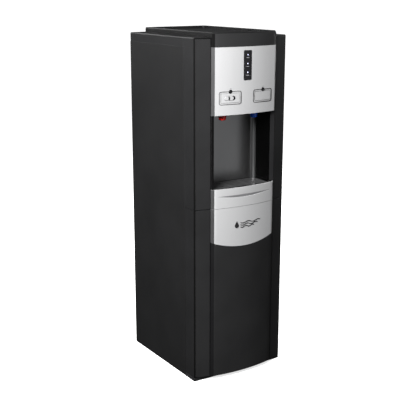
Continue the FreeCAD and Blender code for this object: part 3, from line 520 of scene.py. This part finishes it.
# %% Cabinet, front shell and door
WING_X = 106.2            # the bowed middle's edge, and where its wing starts
COLUMN_X = 113.9          # where the wing ends and the column starts
WING_BACK = -176
PLATE_OUTER_X = 158.6     # the plate's outer edge
SIDE_X = 161              # the column's outer skin
SKIN_BACK = -164.5
SEAT_BACK, SEAT_FRONT = -166, -186
BOWED_FRONT = -188
BAND_TOP = 1034           # the lid's front band ends here
UP, LEFT = 0.7, -0.7      # how far a normal has to lean to count as facing that way


def on_wing(middle, normal):
    return WING_X < abs(middle.x) < COLUMN_X and middle.y < WING_BACK


def beside_plate(middle, normal):
    """The narrow skin of a column outside its plate, round to the cabinet's side."""
    return abs(middle.x) > PLATE_OUTER_X and middle.y < SKIN_BACK


def plate_seat(middle, normal):
    return COLUMN_X < abs(middle.x) < SIDE_X and SEAT_FRONT < middle.y < SEAT_BACK


def ledge(middle, normal):
    return normal.z > UP


def lid_left(middle, normal):
    return normal.x < LEFT


def lid_band(middle, normal):
    return middle.z < BAND_TOP and normal.y < -0.5


def beside_band(middle, normal):
    return on_wing(middle, normal) and middle.z < BAND_TOP


def bowed_middle(middle, normal):
    return abs(middle.x) < WING_X and middle.y < BOWED_FRONT


for node in ("side_panel_left", "side_panel_right"):
    dress(node, powder_coat, 0.4)
# The cover's upward faces take the painted shade charcoal.
dress("top_cover", satin_charcoal, 0.5, 2, [(painted_shade_charcoal, ledge)])
# The lid's left side takes the painted shade charcoal, and its wings beside the band are painted black as shadow.
dress("top_lid", lid_charcoal, 0.5, 2, [(painted_shade_charcoal, lid_left), (band_charcoal, lid_band),
                                        (seam_and_shade_black, beside_band)])
# The skin beside each plate and the seat behind it are painted black, a painted shadow.
dress("front_fascia", satin_charcoal, 0.4, 2, [(seam_and_shade_black, beside_plate), (seam_and_shade_black, plate_seat)])
dress("column_strips", gloss_charcoal, 0.4)
dress("door_strips", gloss_charcoal, 0.4)
# The door has the same painted shadow beside its plates, and painted shade on its wings.
dress("door_shell", satin_charcoal, 0.4, 2, [(seam_and_shade_black, beside_plate), (seam_and_shade_black, plate_seat),
                                             (wing_shade_charcoal, on_wing), (gloss_charcoal, bowed_middle)])
dress("door_inner_panel", matt_black, 0.8)
dress("front_plinth", matt_black, 0.6)
dress("base_tray", powder_coat, 0.5)
dress("rear_feet", rubber, 0.6)

# %% [markdown]
# The silver parts and the alcove. The walls of the grooves round the pads, of the step inside their borders and of
# the lock's slot, with the slot's floor, are painted black, a painted shadow, so each pad reads as a dark outline.
# The wings of the silver parts are painted dark grey and the finger groove's underside a lighter grey, both painted
# shade. The alcove's rear wall has a dark metallic lacquer that mirrors the room, with a darker copy in its rounded
# corners as painted shade, and the other walls are a near black gloss, painted shade as well.

# %% Silver front and alcove
CUTS_LOW, CUTS_HIGH = 838, 1000      # the panel's openings lie between these heights
CUTS_HALF_WIDTH = 100
WALL_LEAN = 0.95                     # a face that leans more than this from the front is a wall
GRIP_LOW, GRIP_HIGH = 568.5, 577.6
GRIP_HALF_WIDTH = 97.2
LOCK_LEFT, LOCK_RIGHT = -77.5, -41.5
LOCK_LOW, LOCK_HIGH = 856.5, 869.5
LOCK_FLOOR = -193.2
ALCOVE_DEEP = -130                   # the rear wall and its corners lie behind this
LIP_FRONT = -177
LIP_X = 101


def step_wall(middle, normal):
    return abs(normal.y) < WALL_LEAN


def in_cuts(middle, normal):
    """Walls and rounded lips of the openings in the panel, not its outer edges."""
    inside = CUTS_LOW < middle.z < CUTS_HIGH and abs(middle.x) < CUTS_HALF_WIDTH
    return inside and step_wall(middle, normal)


def grip_face(middle, normal):
    """The underside of the tray front's finger groove."""
    return GRIP_LOW < middle.z < GRIP_HIGH and abs(middle.x) < GRIP_HALF_WIDTH and normal.z < -0.08


def lock_floor(middle, normal):
    return LOCK_LEFT < middle.x < LOCK_RIGHT and LOCK_LOW < middle.z < LOCK_HIGH and middle.y > LOCK_FLOOR


def rear_corner(middle, normal):
    return normal.y < -0.30 and middle.y > ALCOVE_DEEP


def rear_wall(middle, normal):
    return normal.y < -0.93 and middle.y > ALCOVE_DEEP


def alcove_lip(middle, normal):
    return middle.y < LIP_FRONT and abs(middle.x) > LIP_X


# Wings in painted shade, and the walls of the cuts in black as a painted shadow.
dress("control_panel", silver, 0.45, 2, [(wing_shade_grey, on_wing), (seam_and_shade_black, in_cuts)])
# The trim's and the tray front's wings take the painted shade grey, and the groove's underside a lighter painted
# shade.
dress("door_trim", silver, 0.3, 2, [(wing_shade_grey, on_wing)])
dress("drip_tray_front", silver, 0.3, 2, [(wing_shade_grey, on_wing), (grip_shade, grip_face)])
# The pads' walls and the lock slot's floor are painted black, a painted shadow.
dress("hot_button", silver, 0.4, 2, [(seam_and_shade_black, step_wall), (seam_and_shade_black, lock_floor)])
dress("cold_button", silver, 0.4, 2, [(seam_and_shade_black, step_wall)])
dress("child_lock_slider", silver, 0.5, 3)
# The alcove's rear corners and its walls other than the rear one are in painted shade.
dress("alcove_liner", alcove_black, 0.5, 2, [(corner_shade_lacquer, rear_corner), (alcove_lacquer, rear_wall),
                                             (satin_charcoal, alcove_lip)])
dress("drip_tray", alcove_black, 0.6)
dress("drip_grille", grille_grey, 0.4)
dress("indicator_window", piano_black, 0.4)
dress("pad_markers", piano_black, 0.7, 3)
dress("hot_nozzle", spigot_red, 0.5)
dress("cold_nozzle", spigot_blue, 0.5)
dress("door_emblem", emblem_black, 0.15)

# %% [markdown]
# What a service engineer sees: the bottle bay, the rear sheet, and the works behind the alcove. These keep their CAD
# meshes where the shape is already right.

# %% Bay, rear and works
dress("bay_floor", bay_grey, 1.0)
dress("bay_liner_left", liner_grey, 0.4)
dress("bay_liner_right", liner_grey, 0.4)
dress("bay_rear_wall", liner_grey, 0.5)
dress("mid_deck", galvanised, 0.4)
dress("rear_panel", galvanised, 0.3)
dress("service_bezel", matt_black, 0.6)
dress("mains_inlet", matt_black, 0.4)
dress("hot_switch", spigot_red, 0.5, 3)
dress("cold_switch", spigot_blue, 0.5, 3)
dress("drain_cap", matt_black, 0.8)
dress("door_magnet", rubber, 0.3)
dress("probe_cap", bay_grey, 0.8)
for node, material in {
    "hinge_pins": stainless, "probe_tube": stainless, "probe_hose": hose_silicone, "pump": matt_black,
    "cold_tank": stainless, "evaporator_coil": copper, "tank_insulation": foam, "hot_tank": stainless,
    "band_heater": stainless, "compressor": black_enamel, "compressor_mounts": rubber,
    "filter_drier": copper, "water_hoses": hose_silicone, "circuit_boards": board_green,
    "hot_tap": natural_plastic, "cold_tap": natural_plastic, "hot_plunger": natural_plastic,
    "cold_plunger": natural_plastic, "condenser_coil": black_enamel,
}.items():
    paint(node, material)

# %% [markdown]
# The rest repeats: wires, hoods, screws, ribs and lamps. One small shape is made, and a Geometry Nodes tree
# sets a copy of it at every place. Two trees are enough for these: one lays copies out in rows across and up, the
# other on a ring. Both end in Realize Instances and Set Material, so the result is an ordinary mesh.

# %% Trees that repeat a part
def new_tree(name, sizes):
    """A Geometry Nodes tree with a named input for each size; returns it with its input and output nodes."""
    tree = bpy.data.node_groups.new(name, "GeometryNodeTree")
    tree.interface.new_socket("Geometry", in_out="INPUT", socket_type="NodeSocketGeometry")
    for label, kind in sizes.items():
        tree.interface.new_socket(label, in_out="INPUT", socket_type="NodeSocket" + kind)
    tree.interface.new_socket("Geometry", in_out="OUTPUT", socket_type="NodeSocketGeometry")
    return tree, tree.nodes.new("NodeGroupInput"), tree.nodes.new("NodeGroupOutput")


def finished(tree, given, geometry, output):
    """Makes copies real, gives the mesh its finish and sends it out."""
    real = tree.nodes.new("GeometryNodeRealizeInstances")
    tree.links.new(geometry, real.inputs["Geometry"])
    finish = tree.nodes.new("GeometryNodeSetMaterial")
    tree.links.new(real.outputs["Geometry"], finish.inputs["Geometry"])
    tree.links.new(given.outputs["Finish"], finish.inputs["Material"])
    tree.links.new(finish.outputs["Geometry"], output)


def set_out(tree, given, points, turn, output):
    """Copies the part to the points, each turned by its own amount."""
    part = tree.nodes.new("GeometryNodeObjectInfo")
    tree.links.new(given.outputs["Part"], part.inputs["Object"])
    copies = tree.nodes.new("GeometryNodeInstanceOnPoints")
    tree.links.new(points, copies.inputs["Points"])
    tree.links.new(part.outputs["Geometry"], copies.inputs["Instance"])
    if turn:
        tree.links.new(turn, copies.inputs["Rotation"])
    finished(tree, given, copies.outputs["Instances"], output)


rows_tree, given, result = new_tree("parts_in_rows", {
    "Part": "Object", "First": "Vector", "Across": "Int", "Step across": "Vector", "Up": "Int", "Step up": "Vector",
    "Finish": "Material"})
across = rows_tree.nodes.new("GeometryNodeMeshLine")
up = rows_tree.nodes.new("GeometryNodeMeshLine")
for line, count, step in ((across, "Across", "Step across"), (up, "Up", "Step up")):
    rows_tree.links.new(given.outputs[count], line.inputs["Count"])
    rows_tree.links.new(given.outputs[step], line.inputs["Offset"])
rows_tree.links.new(given.outputs["First"], across.inputs["Start Location"])
columns = rows_tree.nodes.new("GeometryNodeInstanceOnPoints")
rows_tree.links.new(across.outputs["Mesh"], columns.inputs["Points"])
rows_tree.links.new(up.outputs["Mesh"], columns.inputs["Instance"])
places = rows_tree.nodes.new("GeometryNodeRealizeInstances")
rows_tree.links.new(columns.outputs["Instances"], places.inputs["Geometry"])
set_out(rows_tree, given, places.outputs["Geometry"], None, result.inputs["Geometry"])

ring_tree, given, result = new_tree("parts_on_ring", {
    "Part": "Object", "Centre": "Vector", "Count": "Int", "Radius": "Float", "Step angle": "Float",
    "Finish": "Material"})
circle = ring_tree.nodes.new("GeometryNodeMeshCircle")
ring_tree.links.new(given.outputs["Count"], circle.inputs["Vertices"])
ring_tree.links.new(given.outputs["Radius"], circle.inputs["Radius"])
shift = ring_tree.nodes.new("GeometryNodeSetPosition")
ring_tree.links.new(circle.outputs["Mesh"], shift.inputs["Geometry"])
ring_tree.links.new(given.outputs["Centre"], shift.inputs["Offset"])
index = ring_tree.nodes.new("GeometryNodeInputIndex")
angle = ring_tree.nodes.new("ShaderNodeMath")
angle.operation = "MULTIPLY"
ring_tree.links.new(index.outputs["Index"], angle.inputs[0])
ring_tree.links.new(given.outputs["Step angle"], angle.inputs[1])
about_z = ring_tree.nodes.new("ShaderNodeCombineXYZ")
ring_tree.links.new(angle.outputs["Value"], about_z.inputs["Z"])
set_out(ring_tree, given, shift.outputs["Geometry"], about_z.outputs["Vector"], result.inputs["Geometry"])


def run_tree(tree, thing, name, body, slot, finish, values):
    """Runs a tree on an object and keeps the result as a plain mesh on a body; values go by the inputs' names."""
    modifier = thing.modifiers.new("tree", "NODES")
    modifier.node_group = tree
    values = {**values, "Finish": finish}
    for socket in tree.interface.items_tree:
        if socket.item_type == "SOCKET" and socket.in_out == "INPUT" and socket.name in values:
            modifier[socket.identifier] = values[socket.name]
    piece = plain_mesh(thing, name)
    smooth(piece.data)
    place(piece, body, finish, slot)
    print(name, len(piece.data.polygons), "faces")
    return piece


def copies_of(tree, name, body, slot, part, finish, values):
    """Runs one of the two trees above with a part to copy, which is then thrown away."""
    seed = link(bpy.data.objects.new(name + "_seed", bpy.data.meshes.new(name + "_seed")))
    piece = run_tree(tree, seed, name, body, slot, finish, {**values, "Part": part})
    bpy.data.objects.remove(part)
    return piece


def rows(name, body, slot, part, finish, first, across=(1, (1, 0, 0)), up=(1, (0, 0, 1))):
    """Copies in rows, in mm: across and up each give how many there are and the step between them."""
    return copies_of(rows_tree, name, body, slot, part, finish, {
        "First": Vector(first) * MM, "Across": across[0], "Step across": Vector(across[1]) * MM,
        "Up": up[0], "Step up": Vector(up[1]) * MM})


def ring(name, body, slot, part, finish, centre, count, radius):
    """Copies on a ring about an upright axis, in mm, each turned to face outwards."""
    return copies_of(ring_tree, name, body, slot, part, finish, {
        "Centre": Vector(centre) * MM, "Count": count, "Radius": radius * MM,
        "Step angle": math.radians(360 / count)})


print("trees:", len(bpy.data.node_groups))

# %% [markdown]
# The small parts. A rod is a ring of points drawn out along an axis. A hood is a shallow pillow pressed out of the
# sheet, deepest at its open lower lip. A screw head is a turned dome with a cross cut into it by a Boolean. Each is
# drawn around its own origin, because the tree moves it into place.

# %% Small parts
def part_from(bm, name):
    """Turns a bmesh into an object with its faces outward."""
    bmesh.ops.recalc_face_normals(bm, faces=bm.faces)
    mesh = bpy.data.meshes.new(name)
    bm.to_mesh(mesh)
    bm.free()
    return link(bpy.data.objects.new(name, mesh))


def lathe(name, profile, sides, axis="Z"):
    """A turned part from (radius, height) points in mm; the ends are closed at radius 0."""
    bm = bmesh.new()
    rings = []
    for radius, height in profile:
        ring = []
        for i in range(sides if radius else 1):
            a = 2 * math.pi * i / sides
            x, y, z = radius * math.cos(a), radius * math.sin(a), height
            place_at = {"Z": (x, y, z), "Y": (x, z, y), "X": (z, x, y)}[axis]
            ring.append(bm.verts.new(Vector(place_at) * MM))
        rings.append(ring)
    for low_ring, high_ring in zip(rings, rings[1:]):
        for i in range(sides):
            j = (i + 1) % sides
            corners = [low_ring[i % len(low_ring)], low_ring[j % len(low_ring)],
                       high_ring[j % len(high_ring)], high_ring[i % len(high_ring)]]
            corners = list(dict.fromkeys(corners))
            if len(corners) > 2:
                bm.faces.new(corners)
    return part_from(bm, name)


def bar(name, width, depth, height, round_mm):
    """A bar with rounded edges, centred across and standing on its base."""
    bm = bmesh.new()
    bmesh.ops.create_cube(bm, size=1.0)
    for vert in bm.verts:
        vert.co = Vector((vert.co.x * width, vert.co.y * depth, (vert.co.z + 0.5) * height)) * MM
    bmesh.ops.bevel(bm, geom=bm.edges[:], offset=round_mm * MM, segments=2, affect="EDGES", profile=0.5)
    return part_from(bm, name)


def hood(width, height, depth, thick):
    """A pressed louvre, in the XZ plane, bulging to +Y."""
    bm = bmesh.new()
    across_steps, up_steps = 8, 3
    grid = []
    for i in range(across_steps + 1):
        u = i / across_steps
        end = math.sin(math.pi * min(1.0, max(0.0, min(u, 1 - u) * 5)) / 2)
        column = []
        for j in range(up_steps + 1):
            v = j / up_steps
            bulge = depth * end * math.cos(v * math.pi / 2)
            column.append(bm.verts.new(Vector(((u - 0.5) * width, bulge, (v - 0.4) * height)) * MM))
        grid.append(column)
    for i in range(across_steps):
        for j in range(up_steps):
            bm.faces.new((grid[i][j], grid[i + 1][j], grid[i + 1][j + 1], grid[i][j + 1]))
    thing = part_from(bm, "hood")
    wall = thing.modifiers.new("wall", "SOLIDIFY")
    wall.thickness = thick * MM
    return plain_mesh(thing, "hood")


def cross_screw(radius, dome):
    """A cross-head screw seen from +Y."""
    head = lathe("screw_head", [(0, 0), (radius, 0), (radius, dome * 0.4), (radius * 0.7, dome * 0.85),
                                (0, dome)], 16, "Y")
    slot_length, slot_width = radius * 1.2, radius * 0.32
    for width, height in ((slot_length, slot_width), (slot_width, slot_length)):
        cutter = bar("cutter", width, dome * 1.6, height, 0.05)
        for vert in cutter.data.vertices:
            vert.co += Vector((0, dome * 1.1, -height / 2)) * MM
        cut = head.modifiers.new("cross", "BOOLEAN")
        cut.operation = "DIFFERENCE"
        cut.object = cutter
        head = plain_mesh(head, "screw_head")
        bpy.data.objects.remove(cutter)
    return head


print("small parts: rod, bar, hood and screw")

# %% [markdown]
# The back. The condenser's tube is one bent pipe in the CAD. On a real one, fine steel wires are welded across it on
# both sides to spread the heat. The air slots above and below it get pressed hoods, and the sheet is held by
# cross-head screws.

# %% Condenser wires, louvre hoods and rear screws
WIRE_R = 0.8
WIRE_LENGTH = 712
WIRE_PITCH = 6.0
WIRES = 41
FIRST_WIRE_X, WIRE_FOOT = -146, 130
for side_name, wire_y in (("inner", 180.7), ("outer", 187.3)):
    wire = lathe("wire", [(0, 0), (WIRE_R, 0), (WIRE_R, WIRE_LENGTH), (0, WIRE_LENGTH)], 6)
    rows("condenser_wires_" + side_name, "cabinet", "compressor_black", wire, black_enamel,
         (FIRST_WIRE_X, wire_y, WIRE_FOOT), across=(WIRES, (WIRE_PITCH, 0, 0)))

SHEET_FACE = 173.2
HOOD_WIDTH, HOOD_HEIGHT, HOOD_DEPTH, HOOD_THICK = 58, 7, 3.0, 0.7
HOOD_STEP_ACROSS, HOOD_STEP_UP = 70, 10
FIRST_HOOD_X = -105
for name, slot_z in (("lower_louvres", 30), ("upper_louvres", 900)):
    rows(name, "cabinet", "rear_steel", hood(HOOD_WIDTH, HOOD_HEIGHT, HOOD_DEPTH, HOOD_THICK), galvanised,
         (FIRST_HOOD_X, SHEET_FACE - 0.4, slot_z + 0.6), across=(3, (HOOD_STEP_ACROSS, 0, 0)),
         up=(9, (0, 0, HOOD_STEP_UP)))

SCREW_R, SCREW_DOME = 3.6, 1.9
EDGE_SCREW_X = 154
EDGE_PAIR = (2, (2 * EDGE_SCREW_X, 0, 0))
screw_rows = {}
for name, first_x, first_z, across, up in (
        ("screws_left", -EDGE_SCREW_X, 40, EDGE_PAIR, (4, (0, 0, 240))),
        ("screws_middle", 0, 16, (1, (1, 0, 0)), (2, (0, 0, 984))),
        ("screws_top", -EDGE_SCREW_X, 990, EDGE_PAIR, (1, (0, 0, 1)))):
    screw_rows[name] = rows(name, "cabinet", "bright_steel", cross_screw(SCREW_R, SCREW_DOME), screw_steel,
                            (first_x, SHEET_FACE, first_z), across, up)
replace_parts(screw_rows["screws_top"], "rear_screws")

# %% [markdown]
# The bay behind the door. The bottle stands on a ring of low ribs, the cap over its neck has grip ribs, and the
# door's inner sheet is stiffened by upright ribs, so that it doesn't drum.

# %% Ribs in the bay
BOTTLE_MIDDLE = (0, 28, 20.8)
PROBE_CAP_FOOT = (128, 139, 481)
CAP_RIB_R, CAP_RIB_HEIGHT = 0.9, 21.6
ring("bottle_seat_ribs", "cabinet", "bay_plastic", bar("rib", 58, 4, 1.6, 0.6), bay_grey, BOTTLE_MIDDLE, 24, 92)
cap_rib = lathe("grip", [(0, 0), (CAP_RIB_R, 0.6), (CAP_RIB_R, CAP_RIB_HEIGHT - 0.6), (0, CAP_RIB_HEIGHT)], 6)
ring("cap_grip_ribs", "cabinet", "bay_plastic", cap_rib, bay_grey, PROBE_CAP_FOOT, 40, 26)
rows("door_inner_ribs", "door", "black_plastic", bar("rib", 6, 1.1, 430, 0.4), matt_black, (-96, -117.2, 55),
     across=(9, (24, 0, 0)))

# %% [markdown]
# The lamps behind the window are small domes in dark collars, and below each is a short printed bar that stands for
# its label. A collar keeps the light in one point, as on the real display.

# %% Lamps, their marks and the lock's grip
FIRST_LAMP = Vector((0, -199.9, 933.7))
MARK_BELOW_LAMP = Vector((0, -0.1, -9.2))
LAMPS = (3, (0, 0, 24.85))
dome = lathe("dome", [(0, 0), (1.9, 0), (1.6, -0.5), (0.8, -0.75), (0, -0.8)], 16, "Y")
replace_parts(rows("lamp_domes", "cabinet", "led_white", dome, lamp_white, FIRST_LAMP, up=LAMPS), "indicator_leds")
collar = lathe("collar", [(1.7, 0), (2.7, 0), (2.6, -0.5), (1.9, -0.5), (1.7, 0)], 20, "Y")
rows("lamp_collars", "cabinet", "window_black", collar, piano_black, FIRST_LAMP, up=LAMPS)
rows("lamp_marks", "cabinet", "window_black", bar("mark", 9, 0.3, 1.7, 0.1), mark_grey,
     FIRST_LAMP + MARK_BELOW_LAMP, up=LAMPS)

PAD_X, PAD_Z = 57.0, 863.5
MARKER_Z = 882.0
LOCK_GRIP_FOOT = (-62.2, -197.9, 858.2)
rows("pad_marks", "cabinet", "window_black", bar("mark", 7, 0.3, 1.5, 0.1), mark_grey,
     (-PAD_X, -197.05, MARKER_Z + 7.6), across=(2, (2 * PAD_X, 0, 0)))
rows("lock_grip", "lock", "silver_paint", bar("grip", 4.0, 1.0, 9.6, 0.3), seam_and_shade_black, LOCK_GRIP_FOOT)

# %% [markdown]
# A dark bead, a painted shadow of the gap, edges the groove round each pad, the step inside its border, and the
# lock's slot. Each bead follows a rounded rectangle laid onto the bow: the corners come from quarter circles, and
# every point is then moved back to the bow's own depth there. A third tree turns such a line of points into a round
# bead. The bead in a pad's step breaks off at the marker, which belongs to the cabinet and would be in its way when
# the pad is pushed.

# %% Beads round the pads
BOW_HALF = 105.9
BOW_RISE = 11.0
BOW_RADIUS = (BOW_HALF ** 2 + BOW_RISE ** 2) / (2 * BOW_RISE)
BOW_FRONT = -200.0
CORNER_STEPS = 6
POINT_SPACING = 5

bead_tree, given, result = new_tree("bead_on_path", {"Bead radius": "Float", "Finish": "Material"})
path = bead_tree.nodes.new("GeometryNodeMeshToCurve")
bead_tree.links.new(given.outputs["Geometry"], path.inputs["Mesh"])
section = bead_tree.nodes.new("GeometryNodeCurvePrimitiveCircle")
section.inputs["Resolution"].default_value = 8    # flats round the bead
bead_tree.links.new(given.outputs["Bead radius"], section.inputs["Radius"])
sweep = bead_tree.nodes.new("GeometryNodeCurveToMesh")
bead_tree.links.new(path.outputs["Curve"], sweep.inputs["Curve"])
bead_tree.links.new(section.outputs["Curve"], sweep.inputs["Profile Curve"])
sweep.inputs["Fill Caps"].default_value = True
finished(bead_tree, given, sweep.outputs["Mesh"], result.inputs["Geometry"])


def bow_depth(x):
    """The y of the bowed front at x, in mm."""
    return BOW_FRONT + BOW_RADIUS - math.sqrt(BOW_RADIUS ** 2 - x ** 2)


def loop_points(x, z, width, height, corner):
    """Points along a rounded rectangle centred at (x, z), no further apart than POINT_SPACING, in mm."""
    turns = []
    for turn, (side_x, side_z) in enumerate(((1, 1), (-1, 1), (-1, -1), (1, -1))):
        for step in range(CORNER_STEPS + 1):
            a = math.radians(90 * turn + 90 / CORNER_STEPS * step)
            turns.append((x + side_x * (width / 2 - corner) + corner * math.cos(a),
                          z + side_z * (height / 2 - corner) + corner * math.sin(a)))
    points = []
    for (x0, z0), (x1, z1) in zip(turns, turns[1:] + turns[:1]):
        count = max(1, round(math.hypot(x1 - x0, z1 - z0) / POINT_SPACING))
        points += [(x0 + (x1 - x0) * k / count, z0 + (z1 - z0) * k / count) for k in range(count)]
    return points


def bead_round(name, body, slot, loop, bead, depth=0.0, gap_at=None, gap=0.0):
    """A bead along loop, which is x, z, width, height and corner, depth mm behind the bow.

    The bead breaks off within gap mm of the point gap_at."""
    bm = bmesh.new()
    line = [bm.verts.new(Vector((x, bow_depth(x) + depth, z)) * MM) for x, z in loop_points(*loop)]
    for vert, following in zip(line, line[1:] + line[:1]):
        nearest = min(math.hypot(v.co.x - gap_at[0] * MM, v.co.z - gap_at[1] * MM)
                      for v in (vert, following)) if gap_at else gap * MM + 1
        if nearest > gap * MM:
            bm.edges.new((vert, following))
    for vert in [v for v in bm.verts if not v.link_edges]:
        bm.verts.remove(vert)
    mesh = bpy.data.meshes.new(name + "_path")
    bm.to_mesh(mesh)
    bm.free()
    thing = link(bpy.data.objects.new(name + "_path", mesh))
    return run_tree(bead_tree, thing, name, body, slot, seam_and_shade_black, {"Bead radius": bead * MM})


for side_name, pad_x in (("hot", -PAD_X), ("cold", PAD_X)):
    bead_round(side_name + "_pad_groove", "cabinet", "window_black", (pad_x, PAD_Z, 71.4, 37.4, 6.4), 0.55)
    bead_round(side_name + "_pad_step", side_name + "_pad", "window_black", (pad_x, PAD_Z, 60.6, 26.5, 3.1), 0.38,
               depth=0.3, gap_at=(pad_x, MARKER_Z), gap=6.8)
bead_round("lock_slot_edge", "hot_pad", "window_black", (-59.5, 863.0, 36.0, 12.9, 6.4), 0.5)

# %% [markdown]
# The floor is one wide sheet that gives off its own even white, so that it meets the paper behind it without a line.
# It is hidden from mirrors and from bounced light: a black box would otherwise show the whole floor in its sides.

# %% Floor
FLOOR_HALF = 150.0
FLOOR_GLOW = 0.75
bm = bmesh.new()
bmesh.ops.create_grid(bm, x_segments=1, y_segments=1, size=FLOOR_HALF)
mesh = bpy.data.meshes.new("floor")
bm.to_mesh(mesh)
bm.free()
floor = link(bpy.data.objects.new("floor", mesh))
floor_paint, tree, principled = shader("floor_paint", (0.93, 0.93, 0.93), 0.7, Emission_Strength=FLOOR_GLOW)
principled.inputs["Emission Color"].default_value = (1, 1, 1, 1)
floor.data.materials.append(floor_paint)
floor.visible_glossy = False
floor.visible_diffuse = False
print("floor:", 2 * FLOOR_HALF, "m wide")
